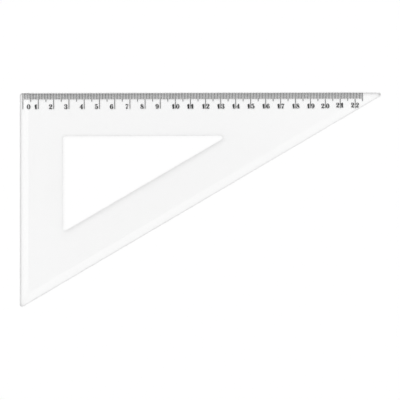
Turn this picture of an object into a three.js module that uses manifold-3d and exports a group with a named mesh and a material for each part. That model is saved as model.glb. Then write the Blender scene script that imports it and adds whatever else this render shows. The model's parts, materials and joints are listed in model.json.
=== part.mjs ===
// A clear 30/60/90 degree drafting triangle with a centimetre scale stamped along its long leg.
// Lengths are in millimetres. The outline is drawn from its right-angle corner, with the long leg
// along +X, the short leg along -Y and the stamped underside on z = 0. The finished group is then
// centred on the box of the plate.
import * as THREE from "three";
import { mergeVertices } from "three/addons/utils/BufferGeometryUtils.js";
import Module from "manifold-3d";

const wasm = await Module();
wasm.setup();

// Driving dimensions of the plate
const tipAngleDegrees = 30;
const longLegLength = 243.5; // from the right angle to the 30 degree tip, both taken as sharp
const plateThickness = 2;
const cornerRadius = 1.5;
const edgeRadius = 0.2; // rounds every upper edge of an upright wall

// Driving dimensions of the bevel along the short leg and the sloping side
const guideBevelWidth = 5.7;
const guideEdgeHeight = 1;

// Driving dimensions of the window and its chamfered rim
const longRailWidth = 28.4;
const shortRailWidth = 28;
const slopeRailWidth = 28.6;
const windowCornerRadius = 1.5;
const windowChamferWidth = 2.3;
const windowLandHeight = 0.8;

// Driving dimensions of the scale
const zeroInset = 2; // from the short leg's edge to the zero mark
const centimetreSpacing = 10;
const markStart = 0.25; // from the scale edge to the near end of every mark
const markWidth = 0.38;
const millimetreMarkLength = 3.9;
const halfCentimetreMarkLength = 5.45;
const centimetreMarkLength = 10.25;
const markEndMargin = 1.8; // least plastic left between a mark's far end and the sloping edge
const stampDepth = 0.15;
const foilClearance = 0.02;

// Counts, the fineness of the round stretches, and how far every cutter runs out
const marksPerCentimetre = 10;
const marksPerHalfCentimetre = 5;
const cornerStepDegrees = 10;
const edgeSteps = 3;
const cutOverrun = 1;
const leastRingStep = 0.001; // rings closer together than this are one

// Finishes
const clearPlastic = new THREE.MeshStandardMaterial({
  color: 0xf3f5f5,
  roughness: 0.05,
  metalness: 0,
  transparent: true,
  opacity: 0.35,
});
const blackFoil = new THREE.MeshStandardMaterial({
  color: 0x101010,
  roughness: 0.45,
  metalness: 0,
});

// The three kinds of wall, each upright from the underside to its own height. From there a bevel
// climbs inward at the slope angle, but the scale edge has none and meets the level top face.
const scaleEdge = { wallHeight: plateThickness, slopeAngle: 0 };
const guideEdge = {
  wallHeight: guideEdgeHeight,
  slopeAngle: Math.atan2(plateThickness - guideEdgeHeight, guideBevelWidth),
};
const windowEdge = {
  wallHeight: windowLandHeight,
  slopeAngle: Math.atan2(plateThickness - windowLandHeight, windowChamferWidth),
};

// The three sides, each by the direction that it faces, how far it lies from the right angle, its
// wall and the width of the rail between it and the window
const tipAngle = THREE.MathUtils.degToRad(tipAngleDegrees);
const slopeSide = {
  facingDegrees: tipAngleDegrees - 90,
  reach: longLegLength * Math.sin(tipAngle),
  edge: guideEdge,
  railWidth: slopeRailWidth,
};
const longSide = { facingDegrees: 90, reach: 0, edge: scaleEdge, railWidth: longRailWidth };
const shortSide = { facingDegrees: 180, reach: 0, edge: guideEdge, railWidth: shortRailWidth };
const sides = [slopeSide, longSide, shortSide];

function facing(degrees) {
  const angle = THREE.MathUtils.degToRad(degrees);
  return new THREE.Vector2(Math.cos(angle), Math.sin(angle));
}

function movedInward(side, distance) {
  return { facingDegrees: side.facingDegrees, reach: side.reach - distance };
}

// Where two sides meet, taken as endless lines
function meetingPoint(one, other) {
  const a = facing(one.facingDegrees);
  const b = facing(other.facingDegrees);
  const turn = a.cross(b);
  return new THREE.Vector2(
    (one.reach * b.y - other.reach * a.y) / turn,
    (other.reach * a.x - one.reach * b.x) / turn,
  );
}

// The round corner that leads anticlockwise from one side to the next
function roundCorner(one, next, radius) {
  const centre = meetingPoint(movedInward(one, radius), movedInward(next, radius));
  const sweep = THREE.MathUtils.euclideanModulo(next.facingDegrees - one.facingDegrees, 360);
  const steps = Math.ceil(sweep / cornerStepDegrees);
  const points = [];
  for (let step = 0; step <= steps; step += 1) {
    const direction = facing(one.facingDegrees + (sweep * step) / steps);
    points.push(direction.multiplyScalar(radius).add(centre));
  }
  return points;
}

function roundedTriangle(lines, radius) {
  return lines.flatMap((line, index) => {
    const next = lines[(index + 1) % lines.length];
    return roundCorner(line, next, radius);
  });
}

// The level of the centre of the small arc that rounds a wall's upper edge
function arcCentreHeight(edge) {
  const rise = edgeRadius * Math.tan(edge.slopeAngle) - edgeRadius / Math.cos(edge.slopeAngle);
  return edge.wallHeight + rise;
}

// How far a wall lies back from its own foot at a height: not at all up to the arc, then along
// the arc, then along the slope
function setback(edge, height) {
  const arcCentre = arcCentreHeight(edge);
  if (height <= arcCentre) return 0;
  const arcRise = edgeRadius * Math.cos(edge.slopeAngle);
  const rise = Math.min(height - arcCentre, arcRise);
  const alongArc = edgeRadius - Math.sqrt(Math.max(edgeRadius ** 2 - rise ** 2, 0));
  if (edge.slopeAngle === 0) return alongArc;
  const climbed = Math.max(height - arcCentre - arcRise, 0);
  return alongArc + climbed / Math.tan(edge.slopeAngle);
}

// The heights at which a wall's section bends
function bendHeights(edge) {
  const sweep = Math.PI / 2 - edge.slopeAngle;
  const heights = [];
  for (let step = 0; step <= edgeSteps; step += 1) {
    heights.push(arcCentreHeight(edge) + edgeRadius * Math.sin((sweep * step) / edgeSteps));
  }
  return heights;
}

// The heights in rising order, from the underside to the top face, each one once
function ringHeights(bends) {
  const highest = plateThickness - leastRingStep;
  const within = bends.filter((height) => height > leastRingStep && height < highest);
  const rising = [0, ...within, plateThickness].sort((a, b) => a - b);
  return rising.filter((height, index) => index === 0 || height - rising[index - 1] > leastRingStep);
}

// The plate's outline at a height. Its corners keep their radius as the bevels climb, so that one
// bevel rolls into the next.
function plateOutline(height) {
  const lines = sides.map((side) => movedInward(side, setback(side.edge, height)));
  return roundedTriangle(lines, cornerRadius);
}

function windowOutline(height) {
  const growth = setback(windowEdge, height);
  const lines = sides.map((side) => movedInward(side, side.railWidth - growth));
  return roundedTriangle(lines, windowCornerRadius + growth);
}

// A closed mesh becomes a solid that can be joined and cut
function toSolid(geometry) {
  const bare = geometry.clone();
  bare.deleteAttribute("normal");
  bare.deleteAttribute("uv");
  const merged = mergeVertices(bare);
  const mesh = new wasm.Mesh({
    numProp: 3,
    vertProperties: merged.attributes.position.array,
    triVerts: new Uint32Array(merged.index.array),
  });
  return new wasm.Manifold(mesh);
}

function toGeometry(solid) {
  const mesh = solid.getMesh();
  const geometry = new THREE.BufferGeometry();
  geometry.setAttribute("position", new THREE.BufferAttribute(mesh.vertProperties, mesh.numProp));
  geometry.setIndex(new THREE.BufferAttribute(mesh.triVerts, 1));
  const flat = geometry.toNonIndexed();
  flat.computeVertexNormals();
  return flat;
}

// A solid through level rings of equally many points each, the lowest ring first
function loftedSolid(rings) {
  const count = rings[0].points.length;
  const top = count * (rings.length - 1);
  const corners = rings.flatMap((ring) =>
    ring.points.flatMap((point) => [point.x, point.y, ring.height]),
  );
  const faces = [];
  for (let base = 0; base < top; base += count) {
    for (let here = 0; here < count; here += 1) {
      const next = (here + 1) % count;
      faces.push(base + here, base + next, base + next + count);
      faces.push(base + here, base + next + count, base + here + count);
    }
  }
  for (const [a, b, c] of THREE.ShapeUtils.triangulateShape(rings.at(0).points, [])) {
    faces.push(c, b, a);
  }
  for (const [a, b, c] of THREE.ShapeUtils.triangulateShape(rings.at(-1).points, [])) {
    faces.push(top + a, top + b, top + c);
  }
  const geometry = new THREE.BufferGeometry();
  geometry.setAttribute("position", new THREE.Float32BufferAttribute(corners, 3));
  geometry.setIndex(faces);
  return toSolid(geometry);
}

// The plate without its window: an upright scale edge, and two bevelled guide edges
function plateBlank() {
  const heights = ringHeights([...bendHeights(guideEdge), ...bendHeights(scaleEdge)]);
  return loftedSolid(heights.map((height) => ({ points: plateOutline(height), height })));
}

// What leaves the window: an upright land at the foot, and the chamfer above it
function windowCutter() {
  const heights = ringHeights(bendHeights(windowEdge));
  const rings = heights.map((height) => ({ points: windowOutline(height), height }));
  const foot = { points: windowOutline(0), height: -cutOverrun };
  const head = { points: windowOutline(plateThickness), height: plateThickness + cutOverrun };
  return loftedSolid([foot, ...rings, head]);
}

// The graduation, counted in divisions from zero
function markLength(count) {
  if (count % marksPerCentimetre === 0) return centimetreMarkLength;
  if (count % marksPerHalfCentimetre === 0) return halfCentimetreMarkLength;
  return millimetreMarkLength;
}

function markPlace(count) {
  return zeroInset + (count * centimetreSpacing) / marksPerCentimetre;
}

function markFits(count) {
  const depthHere = (longLegLength - markPlace(count)) * Math.tan(tipAngle);
  return markStart + markLength(count) + markEndMargin <= depthHere;
}

// The scale ends on the last half centimetre before the first mark that finds no room
function lastMark() {
  let count = 0;
  while (markFits(count + 1)) count += 1;
  return count - (count % marksPerHalfCentimetre);
}

const markCount = lastMark();

// Each mark is stamped into the underside
function stampCutter(count) {
  const length = markLength(count);
  const stamp = new THREE.BoxGeometry(markWidth, length, stampDepth + cutOverrun);
  stamp.translate(markPlace(count), -markStart - length / 2, (stampDepth - cutOverrun) / 2);
  return toSolid(stamp);
}

function makePlate() {
  let solid = plateBlank().subtract(windowCutter());
  for (let count = 0; count <= markCount; count += 1) {
    solid = solid.subtract(stampCutter(count));
  }
  const plate = new THREE.Mesh(toGeometry(solid), clearPlastic);
  plate.name = "plate";
  return plate;
}

// A long mark's filling of foil, flush with the underside and just clear of its recess
function makeMark(count) {
  const isWhole = count % marksPerCentimetre === 0;
  const width = markWidth - foilClearance - foilClearance;
  const length = markLength(count);
  const height = stampDepth - foilClearance;
  const filling = new THREE.BoxGeometry(width, length - foilClearance - foilClearance, height);
  const mark = new THREE.Mesh(filling, blackFoil);
  const number = String(Math.floor(count / marksPerCentimetre)).padStart(2, "0");
  mark.name = isWhole ? `centimetre_mark_${number}` : `half_centimetre_mark_${number}`;
  mark.position.set(markPlace(count), -markStart - length / 2, height / 2);
  return mark;
}

const plate = makePlate();
plate.geometry.computeBoundingBox();
const middle = plate.geometry.boundingBox.getCenter(new THREE.Vector3());

const drawn = new THREE.Group();
drawn.position.set(-middle.x, -middle.y, 0);
drawn.add(plate);
for (let count = 0; count <= markCount; count += marksPerHalfCentimetre) {
  drawn.add(makeMark(count));
}

const draftingTriangle = new THREE.Group();
draftingTriangle.add(drawn);

export default draftingTriangle;
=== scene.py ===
import json
import math

import bmesh
import bpy
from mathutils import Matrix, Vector
from mathutils.geometry import delaunay_2d_cdt


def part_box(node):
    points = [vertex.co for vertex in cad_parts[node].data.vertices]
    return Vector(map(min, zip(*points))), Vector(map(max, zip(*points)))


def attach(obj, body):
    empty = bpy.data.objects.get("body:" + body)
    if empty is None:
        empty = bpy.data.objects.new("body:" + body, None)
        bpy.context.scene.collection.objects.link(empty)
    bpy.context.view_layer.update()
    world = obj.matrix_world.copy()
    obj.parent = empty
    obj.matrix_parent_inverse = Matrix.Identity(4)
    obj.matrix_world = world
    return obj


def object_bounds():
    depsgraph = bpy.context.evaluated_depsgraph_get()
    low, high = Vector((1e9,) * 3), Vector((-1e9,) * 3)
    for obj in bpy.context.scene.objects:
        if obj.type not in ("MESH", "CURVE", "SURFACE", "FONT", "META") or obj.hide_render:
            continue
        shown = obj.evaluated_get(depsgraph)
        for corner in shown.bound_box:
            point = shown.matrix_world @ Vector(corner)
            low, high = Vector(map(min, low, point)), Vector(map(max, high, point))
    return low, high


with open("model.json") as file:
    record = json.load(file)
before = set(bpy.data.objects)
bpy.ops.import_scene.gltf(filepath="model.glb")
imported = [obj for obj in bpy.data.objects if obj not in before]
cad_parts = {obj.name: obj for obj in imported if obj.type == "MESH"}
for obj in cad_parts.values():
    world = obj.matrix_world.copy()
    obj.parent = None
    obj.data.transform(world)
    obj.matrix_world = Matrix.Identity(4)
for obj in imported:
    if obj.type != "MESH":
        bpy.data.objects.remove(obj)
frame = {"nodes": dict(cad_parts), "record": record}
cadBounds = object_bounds()
scene = bpy.context.scene

# The camera hangs almost straight above the plate and leans a few degrees
cameraView = {
    "place": (-0.03664, -0.04196, 0.65654),
    "leanDegrees": (3.5683, -2.9763, -0.6358),
    "lensMillimetres": 90,
    "sensorMillimetres": 36,
}


def makeCamera(view):
    data = bpy.data.cameras.new("overheadCamera")
    data.lens = view["lensMillimetres"]
    data.sensor_width = view["sensorMillimetres"]
    camera = bpy.data.objects.new("overheadCamera", data)
    camera.location = view["place"]
    camera.rotation_euler = [math.radians(angle) for angle in view["leanDegrees"]]
    scene.collection.objects.link(camera)
    scene.camera = camera


makeCamera(cameraView)
scene.view_settings.view_transform = "Standard"
print("camera set")


# Small helpers for node trees

def addNode(tree, kind, **settings):
    node = tree.nodes.new(kind)
    for key, value in settings.items():
        setattr(node, key, value)
    return node


def join(tree, source, target):
    tree.links.new(source, target)


def feed(tree, node, values):
    for socket, value in values.items():
        if isinstance(value, bpy.types.NodeSocket):
            join(tree, value, node.inputs[socket])
        else:
            node.inputs[socket].default_value = value


def calculate(tree, operation, *values):
    node = addNode(tree, "ShaderNodeMath", operation=operation)
    feed(tree, node, dict(enumerate(values)))
    return node.outputs[0]


def ramp(tree, value, span, top=1.0, **settings):
    node = addNode(tree, "ShaderNodeMapRange", **settings)
    feed(tree, node, {"Value": value, "From Min": span[0], "From Max": span[1], "To Max": top})
    return node.outputs["Result"]


def blend(tree, share, plain, other):
    mix = addNode(tree, "ShaderNodeMix", data_type="RGBA")
    feed(tree, mix, {"Factor": share, "A": plain, "B": other})
    return mix.outputs["Result"]


def upwardPart(tree, vector):
    parts = addNode(tree, "ShaderNodeSeparateXYZ")
    join(tree, vector, parts.inputs[0])
    return parts.outputs["Z"]


def pickShader(tree, share, usual, other):
    pick = addNode(tree, "ShaderNodeMixShader")
    feed(tree, pick, {"Fac": share, 1: usual.outputs[0], 2: other.outputs[0]})
    return pick


def newMaterial(name):
    material = bpy.data.materials.new(name)
    material.use_nodes = True
    material.node_tree.nodes.clear()
    return material, material.node_tree


def endMaterial(tree, shader):
    end = addNode(tree, "ShaderNodeOutputMaterial")
    join(tree, shader.outputs[0], end.inputs["Surface"])


# The studio: a pale table and a soft sky that is dim straight overhead and bright all round

studio = {
    "tableSize": 6.0,
    "tableBelow": 0.0003,
    "tableColour": (0.9, 0.9, 0.9, 1),
    "tableLift": 0.1,
    "overheadLight": 0.05,
    "sideLight": 8.35,
    "sideFocus": 3.0,
    "keySide": (-0.52, 0.68, 0),
    "backdropLight": 1.0,
}


def makeTable(settings):
    half = settings["tableSize"] / 2
    low = cadBounds[0][2] - settings["tableBelow"]
    corners = [(-half, -half, low), (half, -half, low), (half, half, low), (-half, half, low)]
    mesh = bpy.data.meshes.new("studioTable")
    mesh.from_pydata(corners, [], [(0, 1, 2, 3)])
    table = bpy.data.objects.new("studioTable", mesh)
    scene.collection.objects.link(table)
    material, tree = newMaterial("paleTable")
    paint = addNode(tree, "ShaderNodeBsdfDiffuse")
    feed(tree, paint, {"Color": settings["tableColour"]})
    glow = addNode(tree, "ShaderNodeEmission")
    feed(tree, glow, {"Strength": settings["tableLift"]})
    lit = addNode(tree, "ShaderNodeAddShader")
    feed(tree, lit, {0: paint.outputs[0], 1: glow.outputs[0]})
    seen = addNode(tree, "ShaderNodeLightPath").outputs
    direct = calculate(tree, "MAXIMUM", seen["Is Camera Ray"], seen["Is Glossy Ray"])
    inView = calculate(tree, "MAXIMUM", direct, seen["Is Transmission Ray"])
    endMaterial(tree, pickShader(tree, inView, paint, lit))
    mesh.materials.append(material)


def makeSky(settings):
    world = bpy.data.worlds.new("softStudio")
    world.use_nodes = True
    tree = world.node_tree
    tree.nodes.clear()
    where = addNode(tree, "ShaderNodeTexCoord").outputs["Generated"]
    rise = upwardPart(tree, where)
    slant = calculate(tree, "SUBTRACT", 1, calculate(tree, "MULTIPLY", rise, rise))
    sides = calculate(tree, "MULTIPLY", slant, settings["sideLight"])
    focus = calculate(tree, "POWER", calculate(tree, "MAXIMUM", rise, 0), settings["sideFocus"])
    level = calculate(tree, "MULTIPLY_ADD", sides, focus, settings["overheadLight"])
    lean = addNode(tree, "ShaderNodeVectorMath", operation="DOT_PRODUCT")
    feed(tree, lean, {0: where, 1: settings["keySide"]})
    keyed = calculate(tree, "MULTIPLY_ADD", level, lean.outputs["Value"], level)
    seen = addNode(tree, "ShaderNodeLightPath").outputs
    bent = calculate(tree, "MAXIMUM", seen["Is Glossy Ray"], seen["Is Transmission Ray"])
    sideways = calculate(tree, "MULTIPLY", bent, slant)
    backdrop = calculate(tree, "MAXIMUM", seen["Is Camera Ray"], sideways)
    shown = addNode(tree, "ShaderNodeMix", data_type="FLOAT")
    feed(tree, shown, {"Factor": backdrop, "A": keyed, "B": settings["backdropLight"]})
    light = addNode(tree, "ShaderNodeBackground")
    feed(tree, light, {"Color": (1, 1, 1, 1), "Strength": shown.outputs["Result"]})
    end = addNode(tree, "ShaderNodeOutputWorld")
    join(tree, light.outputs[0], end.inputs["Surface"])
    scene.world = world


makeTable(studio)
makeSky(studio)
print("studio set")


# Surface effects that both finishes share, each a node group with its own sockets

def newGroup(name, inputs, outputs):
    group = bpy.data.node_groups.new(name, "ShaderNodeTree")
    for label, kind, value in inputs:
        socket = group.interface.new_socket(label, in_out="INPUT", socket_type=kind)
        if value is not None:
            socket.default_value = value
    for label in outputs:
        group.interface.new_socket(label, in_out="OUTPUT", socket_type="NodeSocketFloat")
    return group, addNode(group, "NodeGroupInput").outputs, addNode(group, "NodeGroupOutput")


def placeGroup(tree, group, where, values):
    node = addNode(tree, "ShaderNodeGroup", node_tree=group)
    feed(tree, node, {"Place": where, **values})
    return node.outputs


scratchSettings = {
    "directions": (24, -38, 81),
    "drift": (0.0, 3.7, 8.1),
    "stretch": 260,
    "layers": 20,
    "detail": 1,
    "wander": 0.15,
    "fade": 0.05,
}


def makeHairlineScratches(settings):
    group, given, made = newGroup(
        "hairlineScratches",
        [("Place", "NodeSocketVector", None), ("Per Metre", "NodeSocketFloat", 45.0),
         ("Rarity", "NodeSocketFloat", 0.7)],
        ["Scratches"],
    )
    fullAt = calculate(group, "ADD", given["Rarity"], settings["fade"])
    longer = (1, settings["stretch"], settings["layers"])
    masks = []
    for degrees, drift in zip(settings["directions"], settings["drift"]):
        turn = addNode(group, "ShaderNodeVectorRotate", rotation_type="Z_AXIS")
        feed(group, turn, {"Vector": given["Place"], "Angle": math.radians(degrees)})
        size = addNode(group, "ShaderNodeVectorMath", operation="SCALE")
        feed(group, size, {0: turn.outputs["Vector"], "Scale": given["Per Metre"]})
        drawn = addNode(group, "ShaderNodeVectorMath", operation="MULTIPLY_ADD")
        feed(group, drawn, {0: size.outputs["Vector"], 1: longer, 2: (drift, drift, drift)})
        streaks = addNode(group, "ShaderNodeTexNoise")
        feed(group, streaks, {
            "Vector": drawn.outputs["Vector"],
            "Scale": 1,
            "Detail": settings["detail"],
            "Distortion": settings["wander"],
        })
        span = (given["Rarity"], fullAt)
        masks.append(ramp(group, streaks.outputs["Fac"], span, interpolation_type="SMOOTHSTEP"))
    scratches = masks[0]
    for mask in masks[1:]:
        scratches = calculate(group, "MAXIMUM", scratches, mask)
    join(group, scratches, made.inputs["Scratches"])
    return group


hazeSettings = {
    "patchDetail": 4,
    "grainDetail": 2,
    "fullAt": 0.85,
}


def makeHandlingHaze(settings):
    group, given, made = newGroup(
        "handlingHaze",
        [("Place", "NodeSocketVector", None), ("Patches Per Metre", "NodeSocketFloat", 30.0),
         ("Grains Per Metre", "NodeSocketFloat", 3000.0), ("Clean Share", "NodeSocketFloat", 0.5)],
        ["Haze", "Grain"],
    )
    patches = addNode(group, "ShaderNodeTexNoise")
    feed(group, patches, {
        "Vector": given["Place"],
        "Scale": given["Patches Per Metre"],
        "Detail": settings["patchDetail"],
    })
    span = (given["Clean Share"], settings["fullAt"])
    haze = ramp(group, patches.outputs["Fac"], span, interpolation_type="SMOOTHSTEP")
    grains = addNode(group, "ShaderNodeTexNoise")
    feed(group, grains, {
        "Vector": given["Place"],
        "Scale": given["Grains Per Metre"],
        "Detail": settings["grainDetail"],
    })
    feed(group, made, {"Haze": haze, "Grain": grains.outputs["Fac"]})
    return group


hairlineScratches = makeHairlineScratches(scratchSettings)
handlingHaze = makeHandlingHaze(hazeSettings)
print("shared surface effects made")


def addRelief(tree, height, finish):
    relief = addNode(tree, "ShaderNodeBump")
    feed(tree, relief, {
        "Strength": finish["reliefStrength"],
        "Distance": finish["reliefDepth"],
        "Height": height,
    })
    return relief.outputs["Normal"]


# The clear moulded plastic. Each pair of numbers runs from where an effect starts to where it is
# full. Insets are metres in from a guide edge, heights are metres up from the underside, low light
# runs from 0 straight down to 1 level, and the other pairs are how level the surface lies, where 1
# is flat and 0 is upright.

clearFinish = {
    "flatColour": (0.986, 0.986, 0.986, 1),
    "farFromScaleColour": (0.999, 0.999, 0.999, 1),
    "farFromScaleInset": (0.04, 0.09),
    "hazeColour": (0.973, 0.973, 0.973, 1),
    "scratchColour": (0.934, 0.934, 0.934, 1),
    # the edge, sloping-edge band, tip and chamfer colours below are painted shade
    "edgeShadeColour": (0.556, 0.556, 0.556, 1),
    "edgeShadeRange": (0.98, 0.3),
    "slopeEdgeShadeColour": (0.92, 0.92, 0.92, 1),
    "slopeEdgeShadeInset": (0.0009, 0.0005),
    "tipShadeColour": (0.74, 0.74, 0.74, 1),
    "tipShadeInset": (0.0020, 0.0015),
    "chamferShadeColour": (0.91, 0.91, 0.91, 1),
    "chamferRange": (0.96, 0.9),
    "windowInset": (0.01, 0.02),
    "index": 1.49,
    "polish": 0.0,
    "hazeRoughness": 0.03,
    "scratchRoughness": 0.3,
    "scratches": {"Per Metre": 42.0, "Rarity": 0.7},
    "haze": {"Patches Per Metre": 26.0, "Grains Per Metre": 220.0, "Clean Share": 0.5},
    "waveShare": 0.3,
    "scratchShare": -1.0,
    "reliefDepth": 0.00001,
    "reliefStrength": 0.35,
    "deepBounces": 4,
    "deepColour": (0.808, 0.808, 0.808, 1),
    "lightThrough": (0.995, 0.995, 0.995, 1),
    "trappedColour": (0, 0, 0, 1),
    "wallLoss": 0.95,
    "wallRange": (0.7, 0.3),
    "wallHeights": (0.0013, 0.0007),
    "windowWallShare": 0.4,
    "windowWallHeights": (0.0004, 0.0007),
    "chamferLoss": 0.5,
    "chamferHeights": (0.0013, 0.0010),
    "lowLightRange": (0.15, 0.25),
}

mounts = {mount["name"]: mount for mount in frame["record"]["mounts"]}


def insetFrom(tree, where, edge):
    outward = addNode(tree, "ShaderNodeVectorMath", operation="DOT_PRODUCT")
    feed(tree, outward, {0: where, 1: edge["axis"]})
    reach = Vector(edge["axis"]).dot(Vector(edge["pos_m"]))
    return calculate(tree, "SUBTRACT", reach, outward.outputs["Value"])


# What enters low in a wall is trapped: most of it in an outer wall, less in the window's wall and
# in the foot of its chamfer, and there only from light that comes in low
def trappedShare(tree, finish, flatness, height, inWindow, chamfer):
    wall = ramp(tree, flatness, finish["wallRange"], finish["wallLoss"])
    wallLow = ramp(tree, height, finish["wallHeights"])
    outside = calculate(tree, "SUBTRACT", 1, inWindow)
    windowWall = ramp(tree, height, finish["windowWallHeights"], finish["windowWallShare"])
    wallLow = calculate(tree, "MULTIPLY", wallLow, calculate(tree, "MAXIMUM", outside, windowWall))
    chamferLow = ramp(tree, height, finish["chamferHeights"], finish["chamferLoss"])
    upright = addNode(tree, "ShaderNodeCombineXYZ")
    feed(tree, upright, {"Z": 1})
    slanting = addNode(tree, "ShaderNodeLayerWeight")
    join(tree, upright.outputs[0], slanting.inputs["Normal"])
    lowLight = ramp(tree, slanting.outputs["Facing"], finish["lowLightRange"])
    chamferLow = calculate(tree, "MULTIPLY", chamferLow, lowLight)
    inWall = calculate(tree, "MULTIPLY", wall, wallLow)
    return calculate(tree, "MAXIMUM", inWall, calculate(tree, "MULTIPLY", chamfer, chamferLow))


def makeClearPlastic(finish):
    material, tree = newMaterial("clearMouldedPlastic")
    surface = addNode(tree, "ShaderNodeNewGeometry").outputs
    where = addNode(tree, "ShaderNodeTexCoord").outputs["Object"]
    flatness = calculate(tree, "ABSOLUTE", upwardPart(tree, surface["True Normal"]))
    fromScale = insetFrom(tree, where, mounts["scale_edge"])
    fromShort = insetFrom(tree, where, mounts["short_edge"])
    fromSlope = insetFrom(tree, where, mounts["slope_edge"])
    inset = calculate(tree, "MINIMUM", fromScale, calculate(tree, "MINIMUM", fromShort, fromSlope))
    inWindow = ramp(tree, inset, finish["windowInset"])
    chamfer = calculate(tree, "MULTIPLY", ramp(tree, flatness, finish["chamferRange"]), inWindow)

    # Handling shows as haze and scratches. A band along the sloping edge and the tip are painted
    # darker, as painted shade
    scratches = placeGroup(tree, hairlineScratches, where, finish["scratches"])["Scratches"]
    haze = placeGroup(tree, handlingHaze, where, finish["haze"])
    # the plate is painted a shade lighter away from the scale edge
    farFromScale = ramp(tree, fromScale, finish["farFromScaleInset"])
    colour = blend(tree, farFromScale, finish["flatColour"], finish["farFromScaleColour"])
    colour = blend(tree, haze["Haze"], colour, finish["hazeColour"])
    colour = blend(tree, scratches, colour, finish["scratchColour"])
    # painted shade: a darker band just in from the sloping edge
    slopeEdgeShade = ramp(tree, fromSlope, finish["slopeEdgeShadeInset"])
    colour = blend(tree, slopeEdgeShade, colour, finish["slopeEdgeShadeColour"])
    # painted shade: upright walls and rounded edges are painted darker
    colour = blend(tree, ramp(tree, flatness, finish["edgeShadeRange"]), colour, finish["edgeShadeColour"])
    # painted shade: the tip is painted darker
    tipShade = ramp(tree, calculate(tree, "MAXIMUM", fromScale, fromSlope), finish["tipShadeInset"])
    colour = blend(tree, tipShade, colour, finish["tipShadeColour"])
    # painted shade: the window's chamfer is painted darker
    colour = blend(tree, chamfer, colour, finish["chamferShadeColour"])
    dulled = calculate(tree, "MULTIPLY_ADD", haze["Haze"], finish["hazeRoughness"], finish["polish"])
    dulled = calculate(tree, "MULTIPLY_ADD", scratches, finish["scratchRoughness"], dulled)
    waves = calculate(tree, "MULTIPLY", haze["Grain"], finish["waveShare"])
    uneven = calculate(tree, "MULTIPLY_ADD", scratches, finish["scratchShare"], waves)
    body = addNode(tree, "ShaderNodeBsdfPrincipled")
    feed(tree, body, {
        "Base Color": colour,
        "Roughness": dulled,
        "Normal": addRelief(tree, uneven, finish),
        "IOR": finish["index"],
        "Transmission Weight": 1,
    })

    # Light reaches the table straight through the plate, and a ray that has been thrown about
    # inside for long leaves straight on
    seen = addNode(tree, "ShaderNodeLightPath").outputs
    deep = calculate(tree, "GREATER_THAN", seen["Ray Depth"], finish["deepBounces"])
    straight = calculate(tree, "MAXIMUM", seen["Is Shadow Ray"], seen["Is Diffuse Ray"])
    passing = calculate(tree, "MAXIMUM", straight, deep)
    trapped = trappedShare(tree, finish, flatness, upwardPart(tree, where), inWindow, chamfer)
    leaving = calculate(tree, "MULTIPLY", trapped, surface["Backfacing"])
    through = blend(tree, deep, finish["lightThrough"], finish["deepColour"])
    clear = addNode(tree, "ShaderNodeBsdfTransparent")
    feed(tree, clear, {"Color": blend(tree, leaving, through, finish["trappedColour"])})
    endMaterial(tree, pickShader(tree, passing, body, clear))
    return material


# The black foil that is stamped into the underside

foilFinish = {
    "colour": (0.011, 0.011, 0.012, 1),
    "thinColour": (0.03, 0.03, 0.032, 1),
    "scratchColour": (0.09, 0.09, 0.092, 1),
    "roughness": 0.36,
    "thinRoughness": 0.25,
    "scratches": {"Per Metre": 70.0, "Rarity": 0.74},
    "haze": {"Patches Per Metre": 1800.0, "Grains Per Metre": 14000.0, "Clean Share": 0.5},
    "reliefDepth": 0.000006,
    "reliefStrength": 0.4,
}


def makeBlackFoil(finish):
    material, tree = newMaterial("blackStampingFoil")
    where = addNode(tree, "ShaderNodeTexCoord").outputs["Object"]
    scratches = placeGroup(tree, hairlineScratches, where, finish["scratches"])["Scratches"]
    haze = placeGroup(tree, handlingHaze, where, finish["haze"])
    thin = blend(tree, haze["Haze"], finish["colour"], finish["thinColour"])
    dulled = calculate(
        tree, "MULTIPLY_ADD", haze["Haze"], finish["thinRoughness"], finish["roughness"]
    )
    body = addNode(tree, "ShaderNodeBsdfPrincipled")
    feed(tree, body, {
        "Base Color": blend(tree, scratches, thin, finish["scratchColour"]),
        "Roughness": dulled,
        "Normal": addRelief(tree, haze["Grain"], finish),
    })
    endMaterial(tree, body)
    return material


def dress(node, material):
    piece = frame["nodes"][node]
    if not piece.material_slots:
        piece.data.materials.append(None)
    for place in piece.material_slots:
        place.link = "OBJECT"
        place.material = material


clearPlastic = makeClearPlastic(clearFinish)
blackFoil = makeBlackFoil(foilFinish)
longMarks = sorted(name for name in frame["nodes"] if name.endswith(tuple("0123456789")))
dress("plate", clearPlastic)
for name in longMarks:
    dress(name, blackFoil)
print("plate and", len(longMarks), "long marks dressed")


# Flat outlines made of small pieces, joined into one and given a thickness

outlineLimits = {
    "leastTurn": 1e-14,
    "weldDistance": 1e-8,
}


# A smooth curve through points of any number of parts, so that a width goes along with it
def smoothPath(points, steps):
    path = []
    for index in range(len(points) - 1):
        before = points[max(index - 1, 0)]
        after = points[min(index + 2, len(points) - 1)]
        spans = list(zip(before, points[index], points[index + 1], after))
        for step in range(steps):
            t = step / steps
            path.append([
                b + 0.5 * t * (c - a + t * (2 * a - 5 * b + 4 * c - d + t * (3 * b - a - 3 * c + d)))
                for a, b, c, d in spans
            ])
    path.append(list(points[-1]))
    return path


def strokeShapes(points, steps, weight):
    path = smoothPath(points, steps)
    left, right = [], []
    for index, (across, up, width) in enumerate(path):
        before = path[max(index - 1, 0)]
        after = path[min(index + 1, len(path) - 1)]
        along = Vector((after[0] - before[0], after[1] - before[1])).normalized()
        offset = Vector((-along.y, along.x)) * width * weight / 2
        left.append(Vector((across, up)) + offset)
        right.append(Vector((across, up)) - offset)
    return [[right[i], right[i + 1], left[i + 1], left[i]] for i in range(len(path) - 1)]


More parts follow.
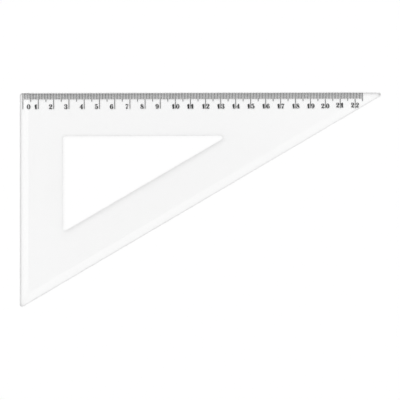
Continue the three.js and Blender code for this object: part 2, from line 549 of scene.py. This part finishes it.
def ovalPoints(middle, radii, steps):
    angles = [math.tau * step / steps for step in range(steps)]
    return [
        Vector((middle[0] + radii[0] * math.cos(angle), middle[1] + radii[1] * math.sin(angle)))
        for angle in angles
    ]


def ringShapes(middle, outerRadii, innerRadii, steps):
    outer = ovalPoints(middle, outerRadii, steps)
    inner = ovalPoints(middle, innerRadii, steps)
    return [[inner[i - 1], outer[i - 1], outer[i], inner[i]] for i in range(steps)]


def joinedPrism(name, shapes, low, high):
    points, faces = [], []
    for shape in shapes:
        for second, third in zip(shape[1:], shape[2:]):
            turn = (second - shape[0]).cross(third - shape[0])
            if abs(turn) > outlineLimits["leastTurn"]:
                faces.append([len(points), len(points) + 1, len(points) + 2])
                points += [shape[0], second, third] if turn > 0 else [shape[0], third, second]
    weld = outlineLimits["weldDistance"]
    flat, _, triangles, _, _, origins = delaunay_2d_cdt(points, [], faces, 0, weld)
    kept = [triangle for triangle, origin in zip(triangles, origins) if origin]
    sides = {(t[i], t[(i + 1) % 3]) for t in kept for i in range(3)}
    rim = [side for side in sides if (side[1], side[0]) not in sides]
    count = len(flat)
    mesh = bpy.data.meshes.new(name)
    mesh.from_pydata(
        [(p[0], p[1], low) for p in flat] + [(p[0], p[1], high) for p in flat],
        [],
        [(c, b, a) for a, b, c in kept]
        + [(a + count, b + count, c + count) for a, b, c in kept]
        + [(a, b, b + count, a + count) for a, b in rim],
    )
    solid = bmesh.new()
    solid.from_mesh(mesh)
    loose = [vert for vert in solid.verts if not vert.link_faces]
    bmesh.ops.delete(solid, geom=loose, context="VERTS")
    solid.to_mesh(mesh)
    solid.free()
    return mesh


def addFoilPiece(name, mesh):
    mesh.materials.append(blackFoil)
    piece = bpy.data.objects.new(name, mesh)
    scene.collection.objects.link(piece)
    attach(piece, "root")


# Where the printing lies, taken from the centimetre marks of the CAD

def cadBox(name):
    low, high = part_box(name)
    return Vector(low), Vector(high)


centimetreBoxes = [cadBox(name) for name in longMarks if name.startswith("centimetre")]
tickPlaces = [(low.x + high.x) / 2 for low, high in centimetreBoxes]
tickLow, tickHigh = centimetreBoxes[0]

millimetreMarks = {
    "length": 0.00386,
    "perCentimetre": 10,
    "perLongMark": 5,
    "count": 225,
}


def makeMillimetreMarks(settings):
    pitch = (tickPlaces[-1] - tickPlaces[0]) / (len(tickPlaces) - 1) / settings["perCentimetre"]
    half = (tickHigh.x - tickLow.x) / 2
    near, far = tickHigh.y, tickHigh.y - settings["length"]
    shapes = []
    for count in range(settings["count"]):
        if count % settings["perLongMark"]:
            middle = tickPlaces[0] + count * pitch
            left, right = middle - half, middle + half
            corners = ((left, far), (right, far), (right, near), (left, near))
            shapes.append([Vector(corner) for corner in corners])
    mesh = joinedPrism("millimetre_marks", shapes, tickLow.z, tickHigh.z)
    addFoilPiece("millimetre_marks", mesh)
    print(len(shapes), "millimetre marks")


makeMillimetreMarks(millimetreMarks)

# The digits, in shares of their height: strokes as (across, up, width), balls as a middle and a
# radius, rings as a middle with outer and inner radii, and outlines. An overhang is how far a
# digit reaches past the line that it is set against.

sixWidth = 0.7
sixStrokes = {
    "strokes": [
        [(0.604, 0.79, 0.05), (0.585, 0.88, 0.05), (0.52, 0.95, 0.05), (0.4, 0.98, 0.05),
         (0.24, 0.88, 0.12), (0.15, 0.66, 0.21), (0.14, 0.4, 0.23), (0.2, 0.12, 0.15),
         (0.36, 0.022, 0.05), (0.4, 0.026, 0.05)],
        [(0.33, 0.026, 0.05), (0.37, 0.022, 0.05), (0.51, 0.09, 0.13), (0.59, 0.29, 0.22),
         (0.52, 0.5, 0.13), (0.38, 0.59, 0.05), (0.27, 0.54, 0.05), (0.2, 0.42, 0.05)],
    ],
    "balls": [((0.519, 0.79), 0.11)],
}


def turnedAbout(strokes, width):
    return {
        "strokes": [[(width - x, 1 - y, w) for x, y, w in path] for path in strokes["strokes"]],
        "balls": [((width - x, 1 - y), radius) for (x, y), radius in strokes["balls"]],
    }


digitStrokes = {
    "0": {"rings": [((0.36, 0.5), (0.36, 0.51), (0.105, 0.455))]},
    "1": {"overhang": 0.06, "outlines": [
        [(0.19, 0), (0.5, 0), (0.5, 1), (0.38, 1), (0.06, 0.86), (0.06, 0.82), (0.19, 0.84)],
        [(0.1, 0), (0.6, 0), (0.6, 0.045), (0.1, 0.045)],
    ]},
    "2": {
        "balls": [((0.16, 0.735), 0.13)],
        "strokes": [
            [(0.055, 0.735, 0.05), (0.075, 0.85, 0.05), (0.17, 0.95, 0.05), (0.33, 0.98, 0.05),
             (0.52, 0.9, 0.16), (0.57, 0.73, 0.22), (0.46, 0.52, 0.18), (0.26, 0.34, 0.09),
             (0.09, 0.15, 0.05), (0.05, 0.0, 0.05)],
            [(0.05, 0.0, 0.04), (0.13, 0.12, 0.09), (0.27, 0.15, 0.17), (0.45, 0.1, 0.2),
             (0.58, 0.09, 0.14), (0.66, 0.15, 0.05), (0.68, 0.29, 0.045)],
        ],
    },
    "3": {
        "balls": [((0.15, 0.775), 0.115), ((0.145, 0.225), 0.12)],
        "strokes": [
            [(0.06, 0.775, 0.05), (0.08, 0.87, 0.05), (0.17, 0.952, 0.05), (0.32, 0.978, 0.05),
             (0.48, 0.92, 0.15), (0.53, 0.77, 0.21), (0.46, 0.6, 0.12), (0.3, 0.53, 0.05),
             (0.2, 0.53, 0.05)],
            [(0.2, 0.53, 0.05), (0.32, 0.53, 0.05), (0.5, 0.46, 0.13), (0.57, 0.27, 0.23),
             (0.49, 0.08, 0.15), (0.3, 0.022, 0.05), (0.15, 0.05, 0.05), (0.07, 0.13, 0.05),
             (0.05, 0.225, 0.05)],
        ],
    },
    "4": {"overhang": 0.07, "outlines": [
        [(0.31, 0), (0.61, 0), (0.61, 1), (0.49, 1), (0.31, 0.74)],
        [(0.5, 1), (0.44, 1), (0, 0.32), (0, 0.26), (0.05, 0.26), (0.5, 0.92)],
        [(0, 0.26), (0.74, 0.26), (0.74, 0.32), (0, 0.32)],
        [(0.2, 0), (0.72, 0), (0.72, 0.06), (0.2, 0.06)],
    ]},
    "5": {
        "balls": [((0.145, 0.225), 0.12)],
        "outlines": [[(0.09, 0.485), (0.14, 0.485), (0.14, 1), (0.09, 1)]],
        "strokes": [
            [(0.115, 0.97, 0.04), (0.2, 0.915, 0.14), (0.38, 0.9, 0.18), (0.52, 0.93, 0.13),
             (0.6, 0.995, 0.04)],
            [(0.115, 0.5, 0.05), (0.2, 0.6, 0.05), (0.35, 0.635, 0.06), (0.5, 0.55, 0.17),
             (0.56, 0.34, 0.24), (0.49, 0.11, 0.16), (0.3, 0.022, 0.05), (0.15, 0.05, 0.05),
             (0.07, 0.13, 0.05), (0.05, 0.225, 0.05)],
        ],
    },
    "6": sixStrokes,
    "7": {"strokes": [
        [(0.05, 0.69, 0.045), (0.07, 0.83, 0.05), (0.14, 0.9, 0.12), (0.26, 0.91, 0.18),
         (0.42, 0.87, 0.17), (0.55, 0.89, 0.12), (0.65, 0.985, 0.04)],
        [(0.65, 0.985, 0.045), (0.56, 0.78, 0.05), (0.42, 0.56, 0.09), (0.33, 0.36, 0.17),
         (0.31, 0.16, 0.24), (0.31, 0.0, 0.25)],
    ]},
    "8": {"strokes": [
        [(0.52, 0.9, 0.05), (0.4, 0.975, 0.05), (0.33, 0.975, 0.05), (0.19, 0.88, 0.14),
         (0.17, 0.72, 0.18), (0.35, 0.54, 0.24), (0.56, 0.36, 0.22), (0.6, 0.19, 0.16),
         (0.5, 0.06, 0.08), (0.37, 0.022, 0.05), (0.33, 0.022, 0.05)],
        [(0.38, 0.022, 0.05), (0.33, 0.022, 0.05), (0.15, 0.07, 0.09), (0.08, 0.24, 0.11),
         (0.18, 0.41, 0.06), (0.36, 0.54, 0.05), (0.52, 0.66, 0.06), (0.57, 0.8, 0.09),
         (0.51, 0.93, 0.07), (0.38, 0.98, 0.05)],
    ]},
    "9": turnedAbout(sixStrokes, sixWidth),
}

scaleEdge = cadBounds[1][1]

numerals = {
    "height": 0.00315,
    "weight": 1.24,
    "baseline": 0.01055,
    "raised": {21: 0.0005, 22: 0.0006},
    "low": 0.00001,
    "high": 0.00006,
    "singleGap": 0.0009,
    "leftGap": 0.00065,
    "rightGap": 0.0004,
    "zeroGap": 0.0026,
    "strokeSteps": 6,
    "ballSteps": 20,
    "ringSteps": 40,
}


def digitShapes(digit, settings):
    parts = digitStrokes[digit]
    shapes = [[Vector(point) for point in outline] for outline in parts.get("outlines", [])]
    for path in parts.get("strokes", []):
        shapes += strokeShapes(path, settings["strokeSteps"], settings["weight"])
    for middle, radius in parts.get("balls", []):
        shapes.append(ovalPoints(middle, (radius, radius), settings["ballSteps"]))
    for middle, outer, inner in parts.get("rings", []):
        shapes += ringShapes(middle, outer, inner, settings["ringSteps"])
    return shapes


def placedDigit(digit, settings, baseline, left=None, right=None):
    shapes = digitShapes(digit, settings)
    height = settings["height"]
    edges = [point.x * height for shape in shapes for point in shape]
    if right is None:
        across = left - min(edges)
    else:
        across = right - max(edges) + digitStrokes[digit].get("overhang", 0) * height
    shift = Vector((across, baseline))
    return [[point * height + shift for point in shape] for shape in shapes]


def makeNumeral(number, settings):
    digits = str(number)
    tick = tickPlaces[number]
    baseline = scaleEdge - settings["baseline"] + settings["raised"].get(number, 0)
    if number == 0:
        shapes = placedDigit(digits, settings, baseline, left=tick + settings["zeroGap"])
    elif len(digits) == 1:
        shapes = placedDigit(digits, settings, baseline, right=tick - settings["singleGap"])
    else:
        shapes = placedDigit(digits[0], settings, baseline, right=tick - settings["leftGap"])
        shapes += placedDigit(digits[1], settings, baseline, left=tick + settings["rightGap"])
    name = "numeral_%02d" % number
    addFoilPiece(name, joinedPrism(name, shapes, settings["low"], settings["high"]))


for number in range(len(tickPlaces)):
    makeNumeral(number, numerals)
print(len(tickPlaces), "numerals")
